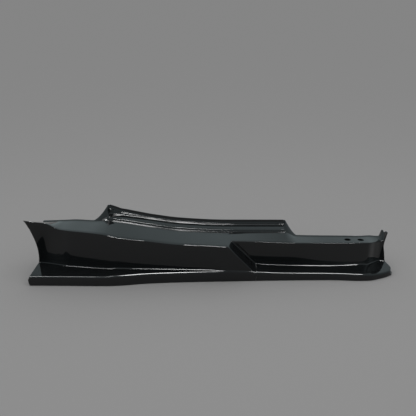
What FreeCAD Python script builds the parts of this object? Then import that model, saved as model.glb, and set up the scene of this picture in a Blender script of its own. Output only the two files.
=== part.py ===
import FreeCAD, Part
import math
import os

# Side skirt for a car, moulded in one piece as a thin open shell.
# +X runs to the front wheel, -Y faces out of the car, +Z is up.
# The skirt stands on its flat underside, and the origin lies in that face.

os.makedirs("parts", exist_ok=True)
doc = FreeCAD.newDocument("side_skirt")
sheet = doc.addObject("Spreadsheet::Sheet", "Sizes")

VECTOR = FreeCAD.Vector
SPAN = 62.0
SPAN_SHORT = 32.0
SHORT = 76.0
SHEAR = 420.0
ROUND_MOST = 0.4
ROUND_WAIST = 0.45

# Named sizes in mm, or a plain ratio where the note says so
SIZES = [
    ("wall", 3, "moulded wall thickness"),
    ("start_x", -850, "rear end of the stock before the arch is cut"),
    ("bay_arch", 60, "stock end to rear arch edge"),
    ("bay_flare", 62, "arch edge to middle of the flare"),
    ("bay_root", 63, "middle of the flare to its root"),
    ("bay_quarter", 45, "flare root to quarter panel"),
    ("bay_heel", 87, "quarter panel to foot of the rear ramp"),
    ("bay_ramp", 61, "length of the rear ramp"),
    ("bay_kick", 10, "rear ramp top to sill peak"),
    ("bay_bend", 52, "sill peak to bend of the lip"),
    ("bay_door", 140, "lip bend to rear of the door"),
    ("bay_mid", 142, "rear of the door to its middle"),
    ("bay_pass", 142, "middle of the door to passenger footwell"),
    ("bay_step", 81, "footwell to the diagonal step"),
    ("bay_sill", 270, "diagonal step to front end of the sill"),
    ("bay_brow", 10, "sill end to top of the front ramp"),
    ("bay_toe", 49, "length of the front ramp"),
    ("bay_roll", 146, "front ramp to roll of the lip"),
    ("bay_pad", 140, "roll of the lip to ridge before the pad"),
    ("bay_corner", 40, "ridge to start of the corner pad"),
    ("bay_turn", 45, "along the corner pad"),
    ("bay_tab", 29, "corner pad to foot of the front tab"),
    ("bay_crest", 14, "foot of the front tab to its crest"),
    ("bay_front", 10, "crest of the front tab to its end"),
    ("bay_stock", 47, "front stock beyond the arch"),
    ("edge_arch", 166, "lip edge outboard of the origin, at the arch"),
    ("edge_peak", 171, "lip edge at the sill peak"),
    ("edge_bend", 168, "lip edge at the bend"),
    ("edge_door", 146, "lip edge at the rear of the door"),
    ("edge_mid", 134, "lip edge at the middle of the door"),
    ("edge_step", 123, "lip edge at the step"),
    ("edge_sill", 113, "lip edge at the front ramp"),
    ("edge_roll", 110, "lip edge at the roll"),
    ("edge_pad", 118, "lip edge at the ridge"),
    ("edge_corner", 115, "lip edge at the start of the pad"),
    ("edge_turn", 98, "lip edge on the pad"),
    ("edge_tab", 80, "lip edge at the front tab"),
    ("edge_front", 48, "lip edge at the front end"),
    ("edge_end", 12, "lip edge at the front stock end"),
    ("lip_high_rear", 45, "lip face height at the rear"),
    ("lip_high_mid", 49, "lip face height at the doors"),
    ("lip_high_sill", 37, "lip face height at the front ramp"),
    ("lip_high_pad", 32, "lip face height at the ridge"),
    ("lip_high_front", 25, "lip face height at the front end"),
    ("lip_draft", 3, "lean of the lip face towards the car"),
    ("lip_wide_arch", 125, "lip top width at the rear arch"),
    ("lip_wide_root", 99, "lip top width at the flare root"),
    ("lip_wide_peak", 74, "lip top width at the sill peak"),
    ("lip_wide_bend", 67, "lip top width at the bend"),
    ("lip_wide_door", 46, "lip top width at the rear of the door"),
    ("lip_wide_mid", 32, "lip top width at the middle of the door"),
    ("lip_wide_pass", 21, "lip top width at the footwell"),
    ("lip_wide_step", 9, "lip top width at the step"),
    ("recess_wide", 77, "lip top width in front of the recess"),
    ("recess_wide_pad", 85, "lip top width at the ridge"),
    ("recess_wide_corner", 93, "lip top width at the start of the pad"),
    ("recess_wide_turn", 120, "lip top width on the pad"),
    ("recess_wide_tab", 126, "lip top width at the front tab"),
    ("recess_wide_front", 108, "lip top width at the front end"),
    ("recess_wide_end", 76, "lip top width at the front stock end"),
    ("lip_rise", 0.12, "ratio: rise of the lip top per width"),
    ("lip_rise_sill", 0.08, "ratio: rise of the lip top at the front ramp"),
    ("lip_rise_roll", 0.06, "ratio: rise of the lip top at the roll"),
    ("lip_rise_pad", 0.16, "ratio: rise of the lip top at the ridge"),
    ("lip_rise_turn", 0.04, "ratio: rise of the lip top on the pad"),
    ("overhang", 0.13, "ratio: outward lean of the panel per height"),
    ("overhang_flare", 0.33, "ratio: outward lean of the rear flare"),
    ("overhang_root", 0.1, "ratio: outward lean at the flare root"),
    ("overhang_roll", -0.02, "ratio: outward lean at the roll"),
    ("overhang_turn", 0.06, "ratio: outward lean on the pad"),
    ("overhang_pad", -0.04, "ratio: outward lean at the ridge"),
    ("hollow_arch", -14, "depth of the hollow at the rear arch, where it swells"),
    ("hollow_flare", 16, "depth of the flare's hollow"),
    ("hollow_root", 5, "depth of the hollow at the flare root"),
    ("hollow_panel", 0.4, "depth of the hollow along the panel"),
    ("crest_stock", 306, "crease height at the rear stock end"),
    ("crest_arch", 294, "crease height at the rear arch"),
    ("crest_flare", 278, "crease height at the middle of the flare"),
    ("crest_root", 242, "crease height at the flare root"),
    ("crest_quarter", 241, "crease height at the quarter panel"),
    ("crest_ramp", 231.5, "crease height at the rear ramp"),
    ("crest_bend", 218, "crease height at the bend"),
    ("crest_door", 199, "crease height at the rear of the door"),
    ("crest_mid", 182.5, "crease height at the middle of the door"),
    ("crest_step", 176, "crease height at the step"),
    ("crest_recess", 175, "crease height at the start of the recess"),
    ("crest_sill", 162, "crease height at the front end of the sill"),
    ("crest_toe", 159, "crease height at the front ramp"),
    ("crest_pad", 152, "crease height at the ridge"),
    ("crest_corner", 150, "crease height at the start of the pad"),
    ("crest_turn", 139, "crease height on the pad"),
    ("crest_tab", 139, "crease height at the foot of the tab"),
    ("crest_low", 134, "crease height before the tab turns up"),
    ("crest_front", 180, "crease height at the front end"),
    ("shelf_back", 50, "riser foot inboard of the origin"),
    ("shelf_turn", 78, "shelf back inboard of the origin on the pad"),
    ("deck_arch", 227.5, "shelf back height at the rear arch"),
    ("deck_root", 231, "shelf back height at the flare root"),
    ("deck_quarter", 233, "shelf back height at the quarter panel"),
    ("deck_ramp", 229, "shelf back height at the rear ramp"),
    ("deck_peak", 234, "shelf back height at the sill peak"),
    ("deck_bend", 228.5, "shelf back height at the bend"),
    ("deck_door", 206, "shelf back height at the rear of the door"),
    ("deck_mid", 186.5, "shelf back height at the middle of the door"),
    ("deck_step", 175.5, "shelf back height at the step"),
    ("deck_sill", 175, "shelf back height at the front end of the sill"),
    ("deck_toe", 153.5, "shelf back height at the front ramp"),
    ("deck_pad", 148.5, "shelf back height at the ridge"),
    ("deck_tab", 137, "shelf back height at the foot of the tab"),
    ("deck_crest", 172, "shelf back height at the crest of the tab"),
    ("deck_front", 180, "shelf back height at the front end"),
    ("riser_high", 10, "height of the sill riser"),
    ("riser_ramp", 2.7, "height of the riser at the top of the rear ramp"),
    ("riser_brow", 1.8, "height of the riser at the top of the front ramp"),
    ("riser_flat", 0.6, "height of the riser outside the sill"),
    ("ledge_wide", 46, "depth of the sill ledge"),
    ("ledge_ramp", 54, "depth of the ledge on the ramps"),
    ("ledge_flat", 2.5, "depth of the ledge outside the sill"),
    ("ledge_rise", 0.14, "ratio: rise of the ledge per depth"),
    ("ledge_rise_ramp", 0.89, "ratio: rise of the ledge at the top of the rear ramp"),
    ("ledge_rise_brow", 0.6, "ratio: rise of the ledge at the top of the front ramp"),
    ("upstand_high", 3.5, "height of the upstand behind the ledge"),
    ("upstand_peak", 22, "height of the upstand at its rear peak"),
    ("upstand_bend", 9, "height of the upstand at the bend"),
    ("upstand_flat", 0.4, "height of the upstand outside the sill"),
    ("bead_wide", 9, "depth of the seal bead"),
    ("bead_ramp", 1, "depth of the seal bead on the ramps"),
    ("bead_flat", 1.5, "depth of the bead outside the sill"),
    ("band_high", 18, "height of the top band"),
    ("band_flat", 0.6, "height of the top band outside the sill"),
    ("step_lean", 3, "lean of risers towards the car"),
    ("slash_run", 116, "run of the diagonal step down the panel"),
    ("slash_wide", 16, "width of the diagonal step along the car"),
    ("slash_edge", 4, "chamfer of the diagonal step"),
    ("flange_end", 30, "inboard edge of the underside flange"),
    ("round_small", 3, "corner setback of the sill steps"),
    ("round_lip", 5, "corner setback of the lip edge"),
    ("round_crease", 5, "corner setback of the crease"),
    ("round_foot", 6, "corner setback of the panel foot"),
    ("arch_round", 330, "radius of the wheel arches"),
    ("arch_rear_x", 1100, "rear wheel centre behind the origin"),
    ("arch_front_x", 1181, "front wheel centre ahead of the origin"),
    ("arch_rear_high", 150, "rear wheel centre above the underside"),
    ("arch_front_high", 95, "front wheel centre above the underside"),
    ("arch_rear_splay", 5.5, "degrees the rear arch cut is splayed"),
    ("arch_front_splay", 13, "degrees the front arch cut is splayed"),
    ("arch_half", 300, "half length of the arch cutters"),
    ("lip_end_x", 787, "rear end of the lip behind the origin"),
    ("lip_end_deep", 100, "length of the cutter for the lip's rear end"),
    ("lip_end_high", 52, "height of the cutter for the lip's rear end"),
    ("hole_round", 15, "radius of the two bolt access holes"),
    ("hole_rear_x", 661, "rear hole ahead of the origin"),
    ("hole_gap", 62, "distance between the two holes"),
    ("hole_in", 16, "holes inboard of the origin"),
    ("hole_base", 100, "foot of the hole cutters"),
    ("hole_long", 90, "length of the hole cutters"),
]

for row, (alias, value, note) in enumerate(SIZES, start=1):
    sheet.set("A" + str(row), alias)
    sheet.set("B" + str(row), str(value))
    sheet.set("C" + str(row), note)
    sheet.setAlias("B" + str(row), alias)
doc.recompute()


def size(alias):
    return float(getattr(sheet, alias))


# Stations along the car, each one bay ahead of the last
STATIONS = ["stock", "arch", "flare", "root", "quarter", "heel", "ramp", "peak", "bend", "door",
            "mid", "pass", "step", "sill", "brow", "toe", "roll", "pad", "corner", "turn", "tab",
            "crest", "front", "end"]
BAYS = ["bay_arch", "bay_flare", "bay_root", "bay_quarter", "bay_heel", "bay_ramp", "bay_kick",
        "bay_bend", "bay_door", "bay_mid", "bay_pass", "bay_step", "bay_sill", "bay_brow", "bay_toe",
        "bay_roll", "bay_pad", "bay_corner", "bay_turn", "bay_tab", "bay_crest", "bay_front",
        "bay_stock"]
AT = {STATIONS[0]: size("start_x")}
for station, last, bay in zip(STATIONS[1:], STATIONS, BAYS):
    AT[station] = AT[last] + size(bay)


def line(*knots):
    """A curve through (station, size) knots that never overshoots them."""
    xs = [AT[station] for station, value in knots]
    ys = [size(value) if isinstance(value, str) else value for station, value in knots]
    spans = [b - a for a, b in zip(xs, xs[1:])]
    rates = [(b - a) / s for a, b, s in zip(ys, ys[1:], spans)]
    slopes = [rates[0]]
    for one, two, p, q in zip(rates, rates[1:], spans, spans[1:]):
        if one * two <= 0:
            slopes.append(0.0)
        else:
            near, far = 2 * q + p, q + 2 * p
            slopes.append((near + far) / (near / one + far / two))
    slopes.append(rates[-1])

    def curve(x):
        if x <= xs[0]:
            return ys[0]
        if x >= xs[-1]:
            return ys[-1]
        k = max(i for i, knot in enumerate(xs) if knot <= x)
        span = spans[k]
        u = (x - xs[k]) / span
        start = (1 + 2 * u) * (1 - u) ** 2 * ys[k] + u * (1 - u) ** 2 * span * slopes[k]
        stop = u * u * (3 - 2 * u) * ys[k + 1] - u * u * (1 - u) * span * slopes[k + 1]
        return start + stop

    return curve


edge_out = line(("stock", "edge_arch"), ("arch", "edge_arch"), ("peak", "edge_peak"),
                ("bend", "edge_bend"), ("door", "edge_door"), ("mid", "edge_mid"),
                ("step", "edge_step"), ("sill", "edge_sill"), ("roll", "edge_roll"),
                ("pad", "edge_pad"), ("corner", "edge_corner"), ("turn", "edge_turn"),
                ("tab", "edge_tab"), ("front", "edge_front"), ("end", "edge_end"))
lip_high = line(("stock", "lip_high_rear"), ("peak", "lip_high_rear"), ("bend", "lip_high_mid"),
                ("step", "lip_high_mid"), ("sill", "lip_high_sill"), ("pad", "lip_high_pad"),
                ("front", "lip_high_front"), ("end", "lip_high_front"))
main_wide = line(("stock", "lip_wide_arch"), ("arch", "lip_wide_arch"), ("root", "lip_wide_root"),
                 ("peak", "lip_wide_peak"), ("bend", "lip_wide_bend"), ("door", "lip_wide_door"),
                 ("mid", "lip_wide_mid"), ("pass", "lip_wide_pass"), ("step", "lip_wide_step"),
                 ("end", "lip_wide_step"))
recess_wide = line(("stock", "recess_wide"), ("roll", "recess_wide"), ("pad", "recess_wide_pad"),
                   ("corner", "recess_wide_corner"), ("turn", "recess_wide_turn"), ("tab", "recess_wide_tab"),
                   ("front", "recess_wide_front"), ("end", "recess_wide_end"))
lip_rise = line(("stock", "lip_rise"), ("step", "lip_rise"), ("sill", "lip_rise_sill"),
                ("roll", "lip_rise_roll"), ("pad", "lip_rise_pad"), ("turn", "lip_rise_turn"),
                ("end", "lip_rise_turn"))
overhang = line(("stock", "overhang_flare"), ("arch", "overhang_flare"), ("root", "overhang_root"),
                ("quarter", "overhang"), ("sill", "overhang"), ("roll", "overhang_roll"),
                ("pad", "overhang_pad"), ("turn", "overhang_turn"), ("end", "overhang_turn"))
hollow = line(("stock", "hollow_arch"), ("arch", "hollow_arch"), ("flare", "hollow_flare"),
              ("root", "hollow_root"), ("quarter", "hollow_panel"), ("end", "hollow_panel"))
main_crest = line(("stock", "crest_stock"), ("arch", "crest_arch"), ("flare", "crest_flare"),
                  ("root", "crest_root"), ("quarter", "crest_quarter"), ("ramp", "crest_ramp"),
                  ("bend", "crest_bend"), ("door", "crest_door"), ("mid", "crest_mid"),
                  ("step", "crest_step"), ("end", "crest_step"))
recess_crest = line(("stock", "crest_recess"), ("step", "crest_recess"), ("sill", "crest_sill"),
                    ("toe", "crest_toe"), ("roll", "crest_pad"), ("pad", "crest_pad"),
                    ("corner", "crest_corner"), ("turn", "crest_turn"), ("tab", "crest_low"),
                    ("crest", "crest_tab"), ("front", "crest_front"), ("end", "crest_front"))
deck_back = line(("stock", "shelf_back"), ("pad", "shelf_back"), ("turn", "shelf_turn"),
                 ("end", "shelf_turn"))
deck_high = line(("stock", "deck_arch"), ("arch", "deck_arch"), ("root", "deck_root"),
                 ("quarter", "deck_quarter"), ("heel", "deck_ramp"), ("peak", "deck_peak"),
                 ("bend", "deck_bend"), ("door", "deck_door"), ("mid", "deck_mid"),
                 ("step", "deck_step"), ("sill", "deck_sill"), ("toe", "deck_toe"),
                 ("pad", "deck_pad"), ("tab", "deck_tab"), ("crest", "deck_crest"),
                 ("front", "deck_front"), ("end", "deck_front"))


def sill(flat, ramp, full, brow, peak=None, bend=None):
    """A sill size that runs straight up the ramps and is full between them."""
    knots = (("stock", flat), ("heel", flat), ("ramp", ramp), ("peak", peak or full),
             ("bend", bend or full), ("door", full), ("sill", full), ("brow", brow),
             ("toe", flat), ("end", flat))
    xs = [AT[station] for station, value in knots]
    ys = [size(value) for station, value in knots]

    def curve(x):
        k = max(i for i, knot in enumerate(xs[:-1]) if knot <= x or i == 0)
        return ys[k] + (ys[k + 1] - ys[k]) * (x - xs[k]) / (xs[k + 1] - xs[k])

    return curve


riser_high = sill("riser_flat", "riser_ramp", "riser_high", "riser_brow")
ledge_wide = sill("ledge_flat", "ledge_ramp", "ledge_wide", "ledge_ramp")
ledge_rise = sill("ledge_rise", "ledge_rise_ramp", "ledge_rise", "ledge_rise_brow")
upstand_high = sill("upstand_flat", "riser_ramp", "upstand_high", "riser_brow", "upstand_peak",
                    "upstand_bend")
bead_wide = sill("bead_flat", "bead_ramp", "bead_wide", "bead_ramp")
band_high = sill("band_flat", "riser_ramp", "band_high", "riser_brow")


def section(x_top, x_low, recessed):
    """Outer corner points of one section, from the underside flange up to the top band."""
    wide = (recess_wide if recessed else main_wide)(x_low)
    edge = -edge_out(x_low)
    high = lip_high(x_low)
    foot_y = edge + wide
    foot_z = high + wide * lip_rise(x_low)
    crest_z = (recess_crest if recessed else main_crest)(x_top)
    wide_top = (recess_wide if recessed else main_wide)(x_top)
    foot_top = -edge_out(x_top) + wide_top
    crest_y = foot_top - overhang(x_top) * (crest_z - foot_z)
    x_mid = (x_top + x_low) / 2
    waist_y = (foot_y + crest_y) / 2 + hollow(x_mid)
    waist_z = (foot_z + crest_z) / 2
    lean = size("step_lean")
    back = deck_back(x_top)
    deck = deck_high(x_top)
    riser = deck + riser_high(x_top)
    ledge = back + lean + ledge_wide(x_top)
    ledge_z = riser + ledge_wide(x_top) * ledge_rise(x_top)
    bead_z = ledge_z + upstand_high(x_top)
    bead = ledge + lean + bead_wide(x_top)
    points = [
        (x_low, size("flange_end"), 0),
        (x_low, edge, 0),
        (x_low, edge + size("lip_draft"), high),
        (x_low, foot_y, foot_z),
        (x_mid, waist_y, waist_z),
        (x_top, crest_y, crest_z),
        (x_top, back, deck),
        (x_top, back + lean, riser),
        (x_top, ledge, ledge_z),
        (x_top, ledge + lean, bead_z),
        (x_top, bead, bead_z),
        (x_top, bead + lean, bead_z + band_high(x_top)),
    ]
    return [VECTOR(*point) for point in points]


def inset(points, depth, shift):
    """The same corner points moved inwards by the wall, square to each side."""
    flat = [VECTOR(0, p.y, p.z) for p in points]
    ways = [(b - a).normalize() for a, b in zip(flat, flat[1:])]
    sides = [VECTOR(0, way.z, -way.y) for way in ways]
    moved = [sides[0]]
    for one, two in zip(sides, sides[1:]):
        both = one + two
        moved.append(both * (2 / both.dot(both)))
    moved.append(sides[-1])
    return [p + m * depth + VECTOR(shift, 0, 0) for p, m in zip(points, moved)]


def corner_rounds(inside):
    """Setback of each corner in turn. The waist takes all the room there is."""
    small = 0.0 if inside else size("round_small")
    lip = 0.0 if inside else size("round_lip")
    crease = 0.0 if inside else size("round_crease")
    return [0.0, lip, size("round_foot"), None, crease, small, small, 0.0, 0.0, 0.0]


def rounded(points, rounds):
    """Point groups along the corner points: a sharp corner is one point, a round one three."""
    groups = [[points[0]]]
    for k, wanted in enumerate(rounds, start=1):
        before, corner, after = points[k - 1], points[k], points[k + 1]
        room = min((corner - before).Length, (after - corner).Length)
        back = room * ROUND_WAIST if wanted is None else min(wanted, room * ROUND_MOST)
        enter = corner + (before - corner).normalize() * back
        leave = corner + (after - corner).normalize() * back
        groups.append([enter, corner, leave] if back else [corner])
    groups.append([points[-1]])
    return groups


def ring(points, shift=0.0):
    """The point groups once round the wall at one section."""
    inner = inset(points, size("wall"), shift)[::-1]
    return rounded(points, corner_rounds(False)) + rounded(inner, corner_rounds(True)[::-1])


def patches(rings):
    """The point rows of each strip of the skin, as one list of rows for every ring.
    The two sides of the underside are left out, being plane."""
    count = len(rings[0])
    strips = []
    for k in range(count):
        if len(rings[0][k]) > 1:
            strips.append([group[k] for group in rings])
        if k not in (0, count - 2):
            strips.append([[group[k][-1], group[(k + 1) % count][0]] for group in rings])
    return strips


def arc_weights(points):
    """Weights that turn the three points of a corner into a true arc."""
    if len(points) < 3:
        return [1.0] * len(points)
    enter, corner, leave = points
    turn = (corner - enter).getAngle(leave - corner)
    return [1.0, math.cos(turn / 2), 1.0]


def sweep_edge(points):
    """The edge through one point of each ring: straight for two rings, bent for three."""
    if len(points) < 3:
        return Part.makeLine(*points)
    bend = Part.BezierCurve()
    bend.setPoles(points)
    return bend.toShape()


def flat_face(pieces, near, far):
    """One plane face along the whole underside, between two point rows of the rings."""
    edges = []
    for rings in pieces:
        edges.extend(sweep_edge([row(ring) for ring in rings]) for row in (near, far))
    for ring in (pieces[0][0], pieces[-1][-1]):
        edges.append(Part.makeLine(near(ring), far(ring)))
    return Part.Face(Part.Wire(Part.__sortEdges__(edges)))


def surface(rows):
    """One face over the point rows. Two rows give a ruled face and three a rounded one."""
    along, across = len(rows), len(rows[0])
    weights = [arc_weights(row) for row in rows]
    face = Part.BSplineSurface()
    face.buildFromPolesMultsKnots(rows, [along, along], [across, across], [0.0, 1.0], [0.0, 1.0],
                                  False, False, along - 1, across - 1, weights)
    return face.toShape()


def cap(groups):
    """The flat face that closes one end of the stock."""
    edges = []
    for k, group in enumerate(groups):
        if len(group) > 1:
            bend = Part.BSplineCurve()
            bend.buildFromPolesMultsKnots(group, [3, 3], [0.0, 1.0], False, 2,
                                          arc_weights(group))
            edges.append(bend.toShape())
        edges.append(Part.makeLine(group[-1], groups[(k + 1) % len(groups)][0]))
    return Part.Face(Part.Wire(edges))


def between(start, stop):
    """Positions from one station to another, with every bay split into short spans."""
    names = STATIONS[STATIONS.index(start):STATIONS.index(stop) + 1]
    spots = []
    for one, two in zip(names, names[1:]):
        bay = AT[two] - AT[one]
        count = math.ceil(bay / (SPAN if bay > SHORT else SPAN_SHORT))
        spots.extend(AT[one] + bay * k / count for k in range(count))
    spots.append(AT[stop])
    return spots


def skin_shape():
    """The shell before its ends are cut to the wheel arches."""
    step, run, wide, edge = AT["step"], size("slash_run"), size("slash_wide"), size("slash_edge")
    shift = -size("wall") * math.sqrt(2)
    rear_x = between("stock", "step")[:-1]
    front_x = [x for x in between("step", "end") if x > step + wide + edge + SPAN_SHORT]
    corner = section(step, step + run, False)
    heel = section(step + wide, step + wide + run, True)
    ways = [(b - a).normalize() * edge for a, b in zip(corner, heel)]
    slash = [
        ring(section(step - edge, step + run - edge, False), shift),
        ring(corner, shift),
        ring([p + way for p, way in zip(corner, ways)], shift),
        ring([p - way for p, way in zip(heel, ways)], shift),
        ring(heel, shift),
        ring(section(step + wide + edge, step + wide + run + edge, True), shift),
    ]
    shear_rear = [run * max(0.0, 1 - (step - x) / SHEAR) ** 2 for x in rear_x]
    shear_front = [run * max(0.0, 1 - (x - step) / SHEAR) ** 2 for x in front_x]
    rear = [ring(section(x, x + s, False)) for x, s in zip(rear_x, shear_rear)] + slash[:1]
    front = slash[-1:] + [ring(section(x, x + s, True)) for x, s in zip(front_x, shear_front)]
    pieces = [[one, two] for one, two in zip(rear, rear[1:])]
    pieces.extend([slash[0:3], slash[2:4], slash[3:6]])
    pieces.extend([one, two] for one, two in zip(front, front[1:]))
    faces = [cap(rear[0]), cap(front[-1]),
             flat_face(pieces, lambda ring: ring[0][0], lambda ring: ring[1][0]),
             flat_face(pieces, lambda ring: ring[-1][0], lambda ring: ring[-2][-1])]
    for rings in pieces:
        faces.extend(surface(rows) for rows in patches(rings))
    shell = Part.makeShell(faces)
    shell.sewShape()
    solid = Part.makeSolid(shell)
    if solid.Volume < 0:
        solid.reverse()
    return solid


def bind(thing, **sizes):
    """Ties properties of a document object to the sheet."""
    for name, rule in sizes.items():
        thing.setExpression(name.replace("_", ".", 2) if name.startswith("Placement") else name, rule)


def arch_cutter(name, centre, high, splay, side):
    """The round of a wheel arch, lying across the car and splayed outwards."""
    cutter = doc.addObject("Part::Cylinder", name)
    turn = FreeCAD.Rotation(VECTOR(0, 0, 1), side * size(splay))
    lay = FreeCAD.Rotation(VECTOR(1, 0, 0), 90)
    cutter.Placement = FreeCAD.Placement(VECTOR(0, 0, 0), turn.multiply(lay))
    reach = f"sin(Sizes.{splay}) * Sizes.arch_half"
    bind(cutter, Radius="Sizes.arch_round", Height="Sizes.arch_half * 2",
         Placement_Base_x=f"{side} * Sizes.{centre} - {side} * {reach}",
         Placement_Base_y=f"cos(Sizes.{splay}) * Sizes.arch_half",
         Placement_Base_z=f"Sizes.{high}")
    return cutter


def lip_cutter(name):
    """The upright end of the lip behind the arch, on the same splayed line."""
    cutter = doc.addObject("Part::Box", name)
    splay = "Sizes.arch_rear_splay"
    cutter.Placement = FreeCAD.Placement(
        VECTOR(0, 0, 0), FreeCAD.Rotation(VECTOR(0, 0, 1), -size("arch_rear_splay")))
    bind(cutter, Length="Sizes.lip_end_deep", Width="Sizes.arch_half * 2",
         Height="Sizes.lip_end_high * 2",
         Placement_Base_x=f"-Sizes.lip_end_x - sin({splay}) * Sizes.arch_half"
                          f" - cos({splay}) * Sizes.lip_end_deep",
         Placement_Base_y=f"sin({splay}) * Sizes.lip_end_deep - cos({splay}) * Sizes.arch_half",
         Placement_Base_z="-Sizes.lip_end_high")
    return cutter


def hole_cutter(name, rule):
    """An upright drill for one of the shelf's round holes."""
    cutter = doc.addObject("Part::Cylinder", name)
    bind(cutter, Radius="Sizes.hole_round", Height="Sizes.hole_long", Placement_Base_x=rule,
         Placement_Base_y="Sizes.hole_in", Placement_Base_z="Sizes.hole_base")
    return cutter


skin = doc.addObject("Part::Feature", "Skin")
skin.Shape = skin_shape()
tools = doc.addObject("Part::MultiFuse", "Cutters")
tools.Shapes = [
    arch_cutter("RearArch", "arch_rear_x", "arch_rear_high", "arch_rear_splay", -1),
    arch_cutter("FrontArch", "arch_front_x", "arch_front_high", "arch_front_splay", 1),
    lip_cutter("LipEnd"),
    hole_cutter("RearHole", "Sizes.hole_rear_x"),
    hole_cutter("FrontHole", "Sizes.hole_rear_x + Sizes.hole_gap"),
]
skirt = doc.addObject("Part::Cut", "SideSkirt")
skirt.Label = "side_skirt"
skirt.Base = skin
skirt.Tool = tools
skirt.Refine = False
tools.Refine = False
doc.recompute()

for thing in doc.Objects:
    if "Invalid" in thing.State or "Error" in thing.State:
        raise RuntimeError(thing.Name + " did not build: " + str(thing.State))
for thing in (skin, skirt):
    if thing.Shape.isNull() or not thing.Shape.isValid():
        raise RuntimeError(thing.Name + " has no valid shape")
if len(skirt.Shape.Solids) != 1:
    raise RuntimeError("the skirt is not one solid")
print("volume", round(skirt.Shape.Volume), "faces", len(skirt.Shape.Faces), skirt.Shape.BoundBox)
skirt.Shape.exportStep("parts/side_skirt.step")
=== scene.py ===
import bisect
import math

import bpy
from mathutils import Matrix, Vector


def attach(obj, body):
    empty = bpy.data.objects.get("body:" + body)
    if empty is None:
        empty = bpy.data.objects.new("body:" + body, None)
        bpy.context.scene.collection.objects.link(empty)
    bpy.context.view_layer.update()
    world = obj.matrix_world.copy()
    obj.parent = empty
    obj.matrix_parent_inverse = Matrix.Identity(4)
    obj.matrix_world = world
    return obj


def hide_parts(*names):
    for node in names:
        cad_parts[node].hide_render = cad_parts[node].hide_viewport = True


bl_info = {
    "name": "Car side skirt",
    "version": (1, 0, 0),
    "blender": (4, 5, 0),
    "location": "View3D > Sidebar > Side skirt",
    "description": "Models a gloss black side skirt and the studio it stands in",
    "category": "Object",
}

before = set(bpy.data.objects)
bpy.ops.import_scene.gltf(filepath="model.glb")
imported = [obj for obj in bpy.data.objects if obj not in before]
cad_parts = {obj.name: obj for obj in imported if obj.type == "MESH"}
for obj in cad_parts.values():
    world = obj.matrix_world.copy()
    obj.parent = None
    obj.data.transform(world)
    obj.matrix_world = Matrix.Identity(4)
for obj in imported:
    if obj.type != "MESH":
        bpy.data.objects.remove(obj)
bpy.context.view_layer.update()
NODE = "side_skirt"
MM = 0.001

# Stations along the car in mm, with +X towards the front wheel
STATIONS = {
    "stock": -850, "arch": -790, "flare": -728, "root": -665, "quarter": -620, "heel": -533,
    "ramp": -472, "peak": -462, "bend": -410, "door": -270, "mid": -128, "walk": 14,
    "step": 95, "sill": 365, "brow": 375, "toe": 424, "roll": 570, "pad": 710, "corner": 750,
    "turn": 795, "tab": 824, "crest": 838, "front": 848, "end": 895,
}


def line(**knots):
    """A curve through a size at each named station, which never overshoots them."""
    xs = [float(STATIONS[name]) for name in knots]
    ys = [float(value) for value in knots.values()]
    spans = [b - a for a, b in zip(xs, xs[1:])]
    rates = [(b - a) / s for a, b, s in zip(ys, ys[1:], spans)]
    slopes = [rates[0]]
    for one, two, p, q in zip(rates, rates[1:], spans, spans[1:]):
        if one * two <= 0:
            slopes.append(0.0)
        else:
            near, far = 2 * q + p, q + 2 * p
            slopes.append((near + far) / (near / one + far / two))
    slopes.append(rates[-1])

    def curve(x):
        if x <= xs[0]:
            return ys[0]
        if x >= xs[-1]:
            return ys[-1]
        k = bisect.bisect_right(xs, x) - 1
        span = spans[k]
        u = (x - xs[k]) / span
        start = (1 + 2 * u) * (1 - u) ** 2 * ys[k] + u * (1 - u) ** 2 * span * slopes[k]
        stop = u * u * (3 - 2 * u) * ys[k + 1] - u * u * (1 - u) * span * slopes[k + 1]
        return start + stop

    return curve


edge_out = line(stock=166, arch=166, peak=171, bend=168, door=146, mid=134, step=123, sill=113,
                roll=110, pad=118, corner=115, turn=98, tab=83, front=68, end=28)
lip_high = line(stock=45, peak=45, bend=49, step=49, sill=37, pad=32, front=25, end=25)
main_wide = line(stock=125, arch=125, root=99, peak=74, bend=67, door=46, mid=32, walk=21,
                 step=9, end=9)
recess_wide = line(stock=77, roll=77, pad=85, corner=93, turn=120, tab=126, front=108, end=76)
lip_rise = line(stock=0.12, step=0.12, sill=0.08, roll=0.06, pad=0.16, turn=0.04, end=0.04)
overhang = line(stock=0.33, arch=0.33, root=0.1, quarter=0.13, sill=0.13, roll=-0.02, pad=-0.04,
                turn=0.06, end=0.06)
hollow = line(stock=-14, arch=-14, flare=16, root=5, quarter=0.4, end=0.4)
main_crest = line(stock=306, arch=294, flare=278, root=242, quarter=241, ramp=231.5, bend=218,
                  door=199, mid=182.5, step=176, end=176)
recess_crest = line(stock=175, step=175, sill=162, toe=159, roll=152, pad=152, corner=150,
                    turn=139, tab=134, crest=139, front=180, end=180)
deck_back = line(stock=50, pad=50, turn=78, end=78)
deck_high = line(stock=227.5, arch=227.5, root=231, quarter=233, heel=229, peak=234, bend=228.5,
                 door=206, mid=186.5, step=175.5, sill=175, toe=153.5, pad=148.5, tab=137,
                 crest=172, front=180, end=180)


def ramps(flat, ramp, full, brow, peak=None, bend=None):
    """A sill size that runs straight up the ramps and is full between them."""
    knots = (("stock", flat), ("heel", flat), ("ramp", ramp), ("peak", peak or full),
             ("bend", bend or full), ("door", full), ("sill", full), ("brow", brow),
             ("toe", flat), ("end", flat))
    xs = [STATIONS[name] for name, value in knots]

    def curve(x):
        k = min(max(bisect.bisect_right(xs, x) - 1, 0), len(xs) - 2)
        start, stop = knots[k][1], knots[k + 1][1]
        return start + (stop - start) * (x - xs[k]) / (xs[k + 1] - xs[k])

    return curve


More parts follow.
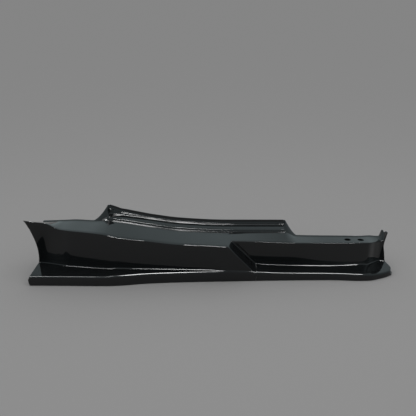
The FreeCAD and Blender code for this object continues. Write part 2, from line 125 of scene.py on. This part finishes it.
riser_high = ramps(0.6, 2.7, 10, 1.8)
ledge_wide = ramps(2.5, 54, 46, 54)
ledge_rise = ramps(0.14, 0.89, 0.14, 0.6)
upstand_high = ramps(0.4, 2.7, 3.5, 1.8, 22, 9)
bead_wide = ramps(1.5, 1, 9, 1)
band_high = ramps(0.6, 2.7, 18, 1.8)

# Lean of the lip's face and of the sill's upright faces, and the inner edge of the underside
LIP_DRAFT = 3.0
STEP_LEAN = 3.0
FLANGE_END = 30.0

# The diagonal step: how far its foot leads, its width, its softness, and the reach of its fan
SLASH_RUN = 116.0
SLASH_WIDE = 16.0
SLASH_EDGE = 4.0
SHEAR = 420.0
EDGE_STEPS = 5

# Wheel arches: centre along the car, height of the centre, radius and splay
REAR_ARCH = (-1100.0, 150.0, 330.0, math.radians(5.5))
FRONT_ARCH = (1181.0, 95.0, 330.0, math.radians(13.0))

# Ends of the lip below the arches: the square heel, which leans, and the round nose
LIP_END = 787.0
LIP_TOP = 60.0
LIP_NOSE = 12.0
NOSE_FROM = 5.0
NOSE_ROUND = 40.0
NOSE_BACK = 12.0
HEEL_LEAN = 8.0
HEEL_HIGH = 30.0

# How far the front fin stands past the arch, and the height over which it gets there
FIN_REACH = 5.5
FIN_BLEND = 60.0

# Round bolt access holes, and the collar below each
HOLES = (661.0, 723.0)
HOLE_IN = 16.0
HOLE_ROUND = 15.0
COLLAR_WALL = 2.5
COLLAR_HIGH = 20.0
COLLAR_SUNK = 1.5

# Where full sections end in front, the end of the stock, and the widest gaps between columns
FRONT_FULL = 640
FRONT_STOCK = 910
REAR_GAP = 6
MAIN_GAP = 9
FRONT_GAP = 4
FOLD_NEAR = 2
FOLD_CLEAR = 2.5
SMOOTH_ANGLE = math.radians(32)


def corners(x_top, x_low, recessed):
    """Corner points of the outside at one section, from the underside up to the top band."""
    wide = (recess_wide if recessed else main_wide)
    edge = -edge_out(x_low)
    high = lip_high(x_low)
    foot_y = edge + wide(x_low)
    foot_z = high + wide(x_low) * lip_rise(x_low)
    crest_z = (recess_crest if recessed else main_crest)(x_top)
    crest_y = wide(x_top) - edge_out(x_top) - overhang(x_top) * (crest_z - foot_z)
    x_mid = (x_top + x_low) / 2
    back, deck = deck_back(x_top), deck_high(x_top)
    riser = deck + riser_high(x_top)
    ledge = back + STEP_LEAN + ledge_wide(x_top)
    ledge_z = riser + ledge_wide(x_top) * ledge_rise(x_top)
    bead_z = ledge_z + upstand_high(x_top)
    bead = ledge + STEP_LEAN + bead_wide(x_top)
    return [Vector(point) for point in (
        (x_low, FLANGE_END, 0),
        (x_low, edge, 0),
        (x_low, edge + LIP_DRAFT, high),
        (x_low, foot_y, foot_z),
        (x_mid, (foot_y + crest_y) / 2 + hollow(x_mid), (foot_z + crest_z) / 2),
        (x_top, crest_y, crest_z),
        (x_top, back, deck),
        (x_top, back + STEP_LEAN, riser),
        (x_top, ledge, ledge_z),
        (x_top, ledge + STEP_LEAN, bead_z),
        (x_top, bead, bead_z),
        (x_top, bead + STEP_LEAN, bead_z + band_high(x_top)),
    )]


# Each corner's setback in mm (None: all the room there is) and how many faces go round it,
# and the number of faces on the straight that leads to it
ROUNDS = (
    (3.2, 4, 5), (6.5, 8, 3), (5.0, 8, 6), (None, 14, 3), (1.2, 3, 3), (1.6, 3, 6),
    (1.6, 3, 2), (1.4, 3, 4), (1.4, 3, 2), (1.4, 3, 1),
)
ROUND_MOST = 0.4
FOLDS = ("heel", "ramp", "peak", "sill", "brow", "toe")
ROUND_WAIST = 0.45
LAST_STRAIGHT = 2


def profile(x_top, x_low, recessed):
    """The outside of one section as a row of points, with its corners rounded to true arcs."""
    points = corners(x_top, x_low, recessed)
    row = [points[0]]
    for k, (wanted, bends, straights) in enumerate(ROUNDS, start=1):
        before, corner, after = points[k - 1], points[k], points[k + 1]
        room = min((corner - before).length, (after - corner).length)
        back = room * ROUND_WAIST if wanted is None else min(wanted, room * ROUND_MOST)
        enter = corner + (before - corner).normalized() * back
        leave = corner + (after - corner).normalized() * back
        row.extend(run(row[-1], enter, straights))
        weight = math.cos((corner - enter).angle(leave - corner) / 2)
        for step in range(1, bends + 1):
            t = step / bends
            a, b, c = (1 - t) ** 2, 2 * t * (1 - t) * weight, t * t
            row.append((enter * a + corner * b + leave * c) / (a + b + c))
    row.extend(run(row[-1], points[-1], LAST_STRAIGHT))
    return row


def run(start, stop, count):
    """Points along a straight after its start."""
    return [start.lerp(stop, k / count) for k in range(1, count + 1)]


def shear(x):
    """How far ahead the foot of a section lies, so that sections fan into the diagonal step."""
    return SLASH_RUN * max(0.0, 1 - abs(x - STATIONS["step"]) / SHEAR) ** 2


def blend(rows, count):
    """Columns of points that bend from one row through a second to a third."""
    found = []
    for k in range(count + 1):
        t = k / count
        a, b, c = (1 - t) ** 2, 2 * t * (1 - t), t * t
        found.append([p * a + q * b + r * c for p, q, r in zip(*rows)])
    return found


def spaced(start, stop, gap):
    """Positions from start to stop, no more than a gap apart, and closer at the folds."""
    count = math.ceil((stop - start) / gap)
    even = [start + (stop - start) * k / count for k in range(count + 1)]
    folds = [STATIONS[name] + off for name in FOLDS for off in (-FOLD_NEAR, 0, FOLD_NEAR)]
    folds = [x for x in folds if start < x < stop]
    kept = [x for x in even
            if x in (start, stop) or all(abs(x - fold) > FOLD_CLEAR for fold in folds)]
    return sorted(kept + folds)


def ease(t):
    """Goes smoothly from 0 to 1 while t does."""
    t = min(max(t, 0.0), 1.0)
    return t * t * (3 - 2 * t)


def rear_limit(p):
    """Where the rear wheel arch cuts the shell at the height and depth of a point."""
    centre, high, radius, splay = REAR_ARCH
    reach = math.sqrt(radius ** 2 - (p.z - high) ** 2)
    arch = centre + (reach + p.y * math.sin(splay)) / math.cos(splay)
    if p.z >= LIP_TOP:
        return arch
    return max(arch, p.y * math.tan(splay) - LIP_END - HEEL_LEAN * ease(p.z / HEEL_HIGH))


def front_limit(p):
    """Where the front wheel arch cuts the shell, with a round nose on the lip below it."""
    centre, high, radius, splay = FRONT_ARCH
    reach = math.sqrt(radius ** 2 - (p.z - high) ** 2)
    arch = centre - (reach + p.y * math.sin(splay)) / math.cos(splay)
    nose = LIP_NOSE - NOSE_BACK * (max(0, -p.y - NOSE_FROM) / NOSE_ROUND) ** 2
    return arch + (FIN_REACH - nose) * ease((p.z - LIP_TOP) / FIN_BLEND) + nose


def end_columns(inner_x, outer_x, recessed, limit, gap):
    """Columns from a full section out to the edge of a wheel arch, each row at its own pace."""
    way = 1 if outer_x > inner_x else -1
    slices = [profile(inner_x + way * k, inner_x + way * k, recessed)
              for k in range(abs(int(outer_x - inner_x)) + 1)]
    count = math.ceil(abs(limit(slices[-1][0]) - inner_x) / gap)
    columns = [[] for k in range(count + 1)]
    for j in range(len(slices[0])):
        track = [one[j] for one in slices]
        last = next(k for k, p in enumerate(track) if way * (p.x - limit(p)) > 0)
        p, q = track[last - 1], track[last]
        before, after = way * (p.x - limit(p)), way * (q.x - limit(q))
        stop = last - 1 + before / (before - after)
        for k in range(count + 1):
            at = stop * k / count
            low = min(int(at), len(track) - 2)
            columns[k].append(track[low].lerp(track[low + 1], at - low))
    return columns


def shell_columns():
    """All columns of the shell's outside, from the rear arch to the front arch."""
    step = float(STATIONS["step"])
    corner = corners_row(step, False)
    heel = corners_row(step + SLASH_WIDE, True)
    near = [a.lerp(b, SLASH_EDGE / max((b - a).length, SLASH_EDGE * 3)) for a, b in zip(corner, heel)]
    far = [b.lerp(a, SLASH_EDGE / max((b - a).length, SLASH_EDGE * 3)) for a, b in zip(corner, heel)]
    before = corners_row(step - SLASH_EDGE, False)
    after = corners_row(step + SLASH_WIDE + SLASH_EDGE, True)
    rear_full = STATIONS["quarter"]
    rear = end_columns(rear_full, STATIONS["stock"], False, rear_limit, REAR_GAP)[::-1]
    rear_x = spaced(rear_full, step - SLASH_EDGE, MAIN_GAP)[1:-1]
    rear += [profile(x, x + shear(x), False) for x in rear_x]
    slash = blend((before, corner, near), EDGE_STEPS) + [
        [a.lerp(b, t) for a, b in zip(near, far)] for t in (0.25, 0.5, 0.75)]
    slash += blend((far, heel, after), EDGE_STEPS)
    front_x = spaced(step + SLASH_WIDE + SLASH_EDGE, FRONT_FULL, MAIN_GAP)[1:-1]
    front = [profile(x, x + shear(x), True) for x in front_x]
    front += end_columns(FRONT_FULL, FRONT_STOCK, True, front_limit, FRONT_GAP)
    return rear + slash + front


def corners_row(x, recessed):
    """One section next to the diagonal step, where its foot leads by the full run."""
    return profile(x, x + SLASH_RUN, recessed)


# Modelling helpers

def clear():
    """Leaves nothing selected and nothing active."""
    for one in bpy.context.selected_objects:
        one.select_set(False)
    bpy.context.view_layer.objects.active = None


def added(name):
    """The primitive that was just added, named."""
    thing = bpy.context.object
    thing.name = name
    thing.data.name = name
    return thing


def only(thing):
    """Makes one object the active and only selected one."""
    clear()
    thing.select_set(True)
    bpy.context.view_layer.objects.active = thing


def apply(thing, kind, name, **settings):
    """Adds a modifier with its settings and applies it."""
    only(thing)
    modifier = thing.modifiers.new(name, kind)
    for key, value in settings.items():
        setattr(modifier, key, value)
    bpy.ops.object.modifier_apply(modifier=name)


# Materials

def put(group, kind, **values):
    """A node of one kind, with its plain settings and socket values set."""
    node = group.nodes.new(kind)
    for key, value in values.items():
        if hasattr(node, key):
            setattr(node, key, value)
        else:
            node.inputs[key.replace("_", " ")].default_value = value
    return node


def ranged(tree, source, low, high):
    """A value stretched so that low becomes 0 and high becomes 1."""
    node = put(tree, "ShaderNodeMapRange")
    node.inputs["From Min"].default_value = low
    node.inputs["From Max"].default_value = high
    tree.links.new(source, node.inputs["Value"])
    return node.outputs["Result"]


def times(tree, source, factor, plus=None):
    """A value times another value or a number, plus a third where one is given."""
    node = put(tree, "ShaderNodeMath", operation="MULTIPLY" if plus is None else "MULTIPLY_ADD")
    for socket, value in zip(node.inputs, (source, factor, plus)):
        if isinstance(value, (int, float)):
            socket.default_value = value
        elif value is not None:
            tree.links.new(value, socket)
    return node.outputs[0]


def finish_group():
    """Shared surface life: slow ripple of the mould, a dust veil and faint wipe marks."""
    group = bpy.data.node_groups.new("Moulded surface", "ShaderNodeTree")
    for name, low, kind in (("Ripple", 0.3, "NodeSocketFloat"), ("Dust", 0.2, "NodeSocketFloat"),
                            ("Roughness", 0.05, "NodeSocketFloat"), ("Colour", 0.0, "NodeSocketColor"),
                            ("Dust colour", 0.0, "NodeSocketColor")):
        socket = group.interface.new_socket(name, in_out="INPUT", socket_type=kind)
        if kind == "NodeSocketFloat":
            socket.default_value = low
    for name, kind in (("Colour", "NodeSocketColor"), ("Roughness", "NodeSocketFloat"),
                       ("Height", "NodeSocketFloat")):
        group.interface.new_socket(name, in_out="OUTPUT", socket_type=kind)
    link = group.links.new
    source = put(group, "NodeGroupInput")
    sink = put(group, "NodeGroupOutput")
    place = put(group, "ShaderNodeTexCoord").outputs["Object"]
    ripple = put(group, "ShaderNodeTexNoise", Scale=7.0, Detail=1.0, Roughness=0.4)
    veil = put(group, "ShaderNodeTexNoise", Scale=11.0, Detail=4.0, Roughness=0.55)
    speck = put(group, "ShaderNodeTexNoise", Scale=900.0, Detail=1.0, Roughness=0.5)
    wipe = put(group, "ShaderNodeTexNoise", Scale=60.0, Detail=3.0, Roughness=0.6)
    stretch = put(group, "ShaderNodeMapping")
    stretch.inputs["Scale"].default_value = (0.12, 1.0, 1.0)
    link(place, stretch.inputs["Vector"])
    link(stretch.outputs["Vector"], wipe.inputs["Vector"])
    for noise in (ripple, veil, speck):
        link(place, noise.inputs["Vector"])
    facing = put(group, "ShaderNodeNewGeometry")
    up = put(group, "ShaderNodeSeparateXYZ")
    link(facing.outputs["Normal"], up.inputs["Vector"])
    cover = times(group, ranged(group, up.outputs["Z"], 0.5, 1.0),
                  ranged(group, veil.outputs["Fac"], 0.35, 0.75))
    lots = times(group, cover, source.outputs["Dust"])
    grains = ranged(group, speck.outputs["Fac"], 0.62, 0.72)
    veiled = times(group, lots, times(group, grains, 0.6, 0.4))
    tint = put(group, "ShaderNodeMix", data_type="RGBA")
    link(veiled, tint.inputs["Factor"])
    link(source.outputs["Colour"], tint.inputs[6])
    link(source.outputs["Dust colour"], tint.inputs[7])
    link(tint.outputs[2], sink.inputs["Colour"])
    rub = times(group, wipe.outputs["Fac"], 0.05, source.outputs["Roughness"])
    link(times(group, veiled, 0.5, rub), sink.inputs["Roughness"])
    link(times(group, ripple.outputs["Fac"], source.outputs["Ripple"]), sink.inputs["Height"])
    return group


def surface(name, group, colour, roughness, ripple, dust, dust_colour, bump_distance):
    """A material of the shared group, with the shader's own constants on it."""
    material = bpy.data.materials.new(name)
    material.use_nodes = True
    tree = material.node_tree
    shader = tree.nodes["Principled BSDF"]
    effect = put(tree, "ShaderNodeGroup")
    effect.node_tree = group
    effect.inputs["Colour"].default_value = (*colour, 1)
    effect.inputs["Dust colour"].default_value = (*dust_colour, 1)
    effect.inputs["Roughness"].default_value = roughness
    effect.inputs["Ripple"].default_value = ripple
    effect.inputs["Dust"].default_value = dust
    bump = put(tree, "ShaderNodeBump", Distance=bump_distance, Strength=1.0)
    tree.links.new(effect.outputs["Colour"], shader.inputs["Base Color"])
    tree.links.new(effect.outputs["Roughness"], shader.inputs["Roughness"])
    tree.links.new(effect.outputs["Height"], bump.inputs["Height"])
    tree.links.new(bump.outputs["Normal"], shader.inputs["Normal"])
    return material


# Settings

class SkirtShape(bpy.types.PropertyGroup):
    """Sizes of the moulded shell."""
    wall: bpy.props.FloatProperty(
        name="Wall", description="Thickness of the moulded wall", default=0.003,
        unit="LENGTH", precision=4)


class SkirtFinish(bpy.types.PropertyGroup):
    """Colours and gloss of the shell."""
    colour: bpy.props.FloatVectorProperty(
        name="Gloss black", description="Colour of the outer coat", subtype="COLOR",
        size=3, default=(0.0038, 0.0044, 0.0048), min=0, max=1)
    roughness: bpy.props.FloatProperty(
        name="Roughness", description="Roughness of the outer coat", default=0.03,
        subtype="FACTOR")
    back_colour: bpy.props.FloatVectorProperty(
        name="Laminate", description="Colour of the unpolished inner side", subtype="COLOR",
        size=3, default=(0.02, 0.02, 0.021), min=0, max=1)


class StudioSet(bpy.types.PropertyGroup):
    """Floor, lamps and camera."""
    ground: bpy.props.FloatVectorProperty(
        name="Floor", description="Colour of the floor and backdrop", subtype="COLOR",
        size=3, default=(0.262, 0.262, 0.262), min=0, max=1)
    haze: bpy.props.FloatVectorProperty(
        name="Haze", description="Colour of the walls of the studio, as the coat mirrors them",
        subtype="COLOR", size=3, default=(0.36, 0.43, 0.445), min=0, max=1)
    surround: bpy.props.FloatProperty(
        name="Surround", description="Strength of the plain surrounding light", default=0.89)
    lens: bpy.props.FloatProperty(
        name="Lens", description="Focal length of the camera", default=58.93, unit="CAMERA")
    pitch: bpy.props.FloatProperty(
        name="Pitch", description="How far the camera looks down", default=math.radians(20.2),
        subtype="ANGLE")


# Pieces

class SKIRT_OT_shell(bpy.types.Operator):
    """Models the one-piece moulded shell"""
    bl_idname = "skirt.shell"
    bl_label = "Side skirt shell"

    def execute(self, context):
        shape = context.scene.skirt_shape
        columns = shell_columns()
        across, along = len(columns[0]), len(columns)
        clear()
        bpy.ops.mesh.primitive_grid_add(x_subdivisions=along - 1, y_subdivisions=across - 1, size=1)
        shell = added("skirt_shell")
        for vertex in shell.data.vertices:
            k = round((vertex.co.x + 0.5) * (along - 1))
            j = round((vertex.co.y + 0.5) * (across - 1))
            vertex.co = columns[k][j] * MM
        finish = context.scene.skirt_finish
        group = finish_group()
        gloss = surface("Gloss black coat", group, finish.colour, finish.roughness, 0.3, 0.015,
                        (0.3, 0.3, 0.29), 0.0004)
        back = surface("Laminate back", group, finish.back_colour, 0.5, 3.0, 0.2,
                       (0.3, 0.3, 0.29), 0.001)
        trim = surface("Trimmed edge", group, finish.colour, 0.2, 0.5, 0.05,
                       (0.3, 0.3, 0.29), 0.0004)
        for material in (gloss, back, trim):
            shell.data.materials.append(material)
        apply(shell, "SOLIDIFY", "Wall", thickness=shape.wall, offset=-1, use_even_offset=False,
              use_quality_normals=True, use_rim=True, material_offset=1, material_offset_rim=2)
        self.drill(shell, trim)
        for vertex in shell.data.vertices:
            vertex.co.z = max(vertex.co.z, 0)
        only(shell)
        bpy.ops.object.shade_smooth_by_angle(angle=SMOOTH_ANGLE)
        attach(shell, "root")
        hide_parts(NODE)
        return {"FINISHED"}

    def drill(self, shell, trim):
        """Cuts the two round bolt access holes down through the shelf, each with a collar below."""
        for x in HOLES:
            under = (deck_high(x) - COLLAR_HIGH / 2 - COLLAR_SUNK) * MM
            for name, operation, radius, depth, z in (
                    ("collar", "UNION", HOLE_ROUND + COLLAR_WALL, COLLAR_HIGH, under),
                    ("bore", "DIFFERENCE", HOLE_ROUND, 3 * COLLAR_HIGH, deck_high(x) * MM)):
                clear()
                bpy.ops.mesh.primitive_cylinder_add(
                    vertices=48, radius=radius * MM, depth=depth * MM,
                    location=(x * MM, HOLE_IN * MM, z))
                tool = added("hole_" + name)
                tool.data.materials.append(trim)
                bpy.ops.object.transform_apply(location=True)
                apply(shell, "BOOLEAN", name, operation=operation, object=tool, solver="EXACT",
                      material_mode="TRANSFER")
                bpy.data.objects.remove(tool)


# Name, place, aim, width, depth and brightness of each soft box, in metres, and
# whether it is a strip that only the gloss shows
SOFT_BOXES = (
    ("overhead_bank", (0, -0.2, 3.0), (0, -0.2, 0), 3.6, 1.2, 1.3, False),
    ("middle_strip", (-0.13, -0.4, 2.6), (0, 0, 0), 0.5, 0.9, 45.0, True),
    ("right_strip", (1.1, -0.4, 2.6), (0.6, 0, 0), 0.45, 0.9, 45.0, True),
    ("left_strip", (-1.3, -0.4, 2.6), (-0.7, 0, 0), 0.2, 0.9, 30.0, True),
)

# Where the camera stands, its sensor in mm, and the side of the floor
CAMERA_PLACE = (0.00469, -2.9388, 1.39625)
SENSOR = 36
FLOOR_WIDE = 60.0


class SKIRT_OT_stage(bpy.types.Operator):
    """Sets up the floor, the lamps and the camera"""
    bl_idname = "skirt.stage"
    bl_label = "Studio"

    def execute(self, context):
        studio = context.scene.skirt_studio
        self.floor(studio)
        self.lamps(studio)
        self.camera(studio)
        context.scene.view_settings.view_transform = "Standard"
        return {"FINISHED"}

    def floor(self, studio):
        """One wide matt sheet that lies under the part."""
        clear()
        bpy.ops.mesh.primitive_plane_add(size=1, location=(0, 0, 0))
        floor = added("studio_floor")
        floor.scale = (FLOOR_WIDE, FLOOR_WIDE, 1)
        bpy.ops.object.transform_apply(scale=True)
        material = bpy.data.materials.new("Studio grey")
        material.use_nodes = True
        shader = material.node_tree.nodes["Principled BSDF"]
        shader.inputs["Base Color"].default_value = (*studio.ground, 1)
        shader.inputs["Roughness"].default_value = 1.0
        shader.inputs["Specular IOR Level"].default_value = 0.0
        floor.data.materials.append(material)

    def lamps(self, studio):
        """A plain soft surround, shown in the backdrop's grey, and soft boxes overhead."""
        world = bpy.data.worlds.new("Studio surround")
        bpy.context.scene.world = world
        world.use_nodes = True
        tree = world.node_tree
        sky = tree.nodes["Background"]
        sky.inputs["Color"].default_value = (1, 1, 1, 1)
        sky.inputs["Strength"].default_value = studio.surround
        grey = put(tree, "ShaderNodeBackground", Strength=1.0)
        grey.inputs["Color"].default_value = (*studio.ground, 1)
        walls = put(tree, "ShaderNodeBackground", Strength=1.0)
        walls.inputs["Color"].default_value = (*studio.haze, 1)
        path = put(tree, "ShaderNodeLightPath")
        seen = put(tree, "ShaderNodeMath", operation="MAXIMUM")
        mirrored = put(tree, "ShaderNodeMixShader")
        mix = put(tree, "ShaderNodeMixShader")
        tree.links.new(path.outputs["Is Glossy Ray"], mirrored.inputs["Fac"])
        tree.links.new(sky.outputs[0], mirrored.inputs[1])
        tree.links.new(walls.outputs[0], mirrored.inputs[2])
        tree.links.new(path.outputs["Is Camera Ray"], seen.inputs[0])
        tree.links.new(path.outputs["Is Transmission Ray"], seen.inputs[1])
        tree.links.new(seen.outputs[0], mix.inputs["Fac"])
        tree.links.new(mirrored.outputs[0], mix.inputs[1])
        tree.links.new(grey.outputs[0], mix.inputs[2])
        tree.links.new(mix.outputs[0], tree.nodes["World Output"].inputs["Surface"])
        for name, place, aim, wide, deep, level, strip in SOFT_BOXES:
            clear()
            bpy.ops.object.light_add(type="AREA", location=place)
            lamp = bpy.context.object
            lamp.name = name
            lamp.data.shape = "RECTANGLE"
            lamp.data.size = wide
            lamp.data.size_y = deep
            lamp.data.energy = level * wide * deep * math.pi
            lamp.visible_diffuse = not strip
            lamp.rotation_euler = (Vector(aim) - Vector(place)).to_track_quat("-Z", "Y").to_euler()

    def camera(self, studio):
        """The photograph's camera: level, a little above the part and looking down on it."""
        clear()
        bpy.ops.object.camera_add(location=CAMERA_PLACE,
                                  rotation=(math.pi / 2 - studio.pitch, 0, 0))
        camera = bpy.context.object
        camera.name = "camera"
        camera.data.lens = studio.lens
        camera.data.sensor_width = SENSOR
        bpy.context.scene.camera = camera


class SKIRT_PT_panel(bpy.types.Panel):
    """Settings and pieces of the side skirt"""
    bl_idname = "SKIRT_PT_panel"
    bl_label = "Side skirt"
    bl_space_type = "VIEW_3D"
    bl_region_type = "UI"
    bl_category = "Side skirt"

    def draw(self, context):
        scene = context.scene
        for settings in (scene.skirt_shape, scene.skirt_finish, scene.skirt_studio):
            for key in settings.__annotations__:
                self.layout.prop(settings, key)
        for piece in PIECES:
            self.layout.operator(piece.bl_idname)


GROUPS = {"skirt_shape": SkirtShape, "skirt_finish": SkirtFinish, "skirt_studio": StudioSet}
PIECES = (SKIRT_OT_shell, SKIRT_OT_stage)


def register():
    for thing in (*GROUPS.values(), *PIECES, SKIRT_PT_panel):
        bpy.utils.register_class(thing)
    for name, group in GROUPS.items():
        setattr(bpy.types.Scene, name, bpy.props.PointerProperty(type=group))


def unregister():
    for name in GROUPS:
        delattr(bpy.types.Scene, name)
    for thing in (SKIRT_PT_panel, *PIECES, *GROUPS.values()):
        bpy.utils.unregister_class(thing)


def main():
    register()
    for piece in PIECES:
        space, name = piece.bl_idname.split(".")
        getattr(getattr(bpy.ops, space), name)()


if __name__ == "__main__":
    main()
